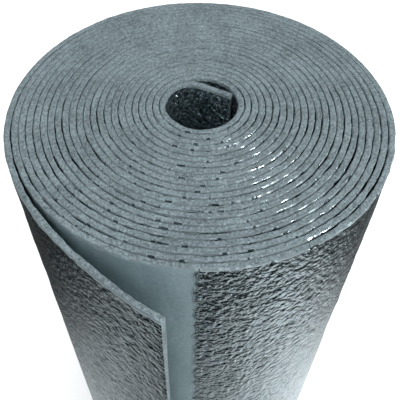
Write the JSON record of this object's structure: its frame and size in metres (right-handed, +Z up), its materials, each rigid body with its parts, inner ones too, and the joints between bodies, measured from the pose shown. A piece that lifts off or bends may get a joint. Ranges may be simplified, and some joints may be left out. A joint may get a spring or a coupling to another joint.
{
  "type": "insulation roll",
  "caption": "Coreless roll of foil-faced foam insulation sheet, wound in a spiral round an open eye and standing on its end with a loose outer tail.",
  "frame": {"origin": "centre of the footprint's bounding rectangle, on the floor the roll stands on", "axes": "+Z up along the roll, -Y towards the front, where the loose tail ends"},
  "size_m": [0.3619, 0.4047, 0.61],
  "materials": {
    "foil_faced_foam": "embossed foil on both faces, matte grey foam on the cut edges"
  },
  "bodies": {
    "root": {"insulation_roll": "foil_faced_foam"}
  },
  "joints": []
}
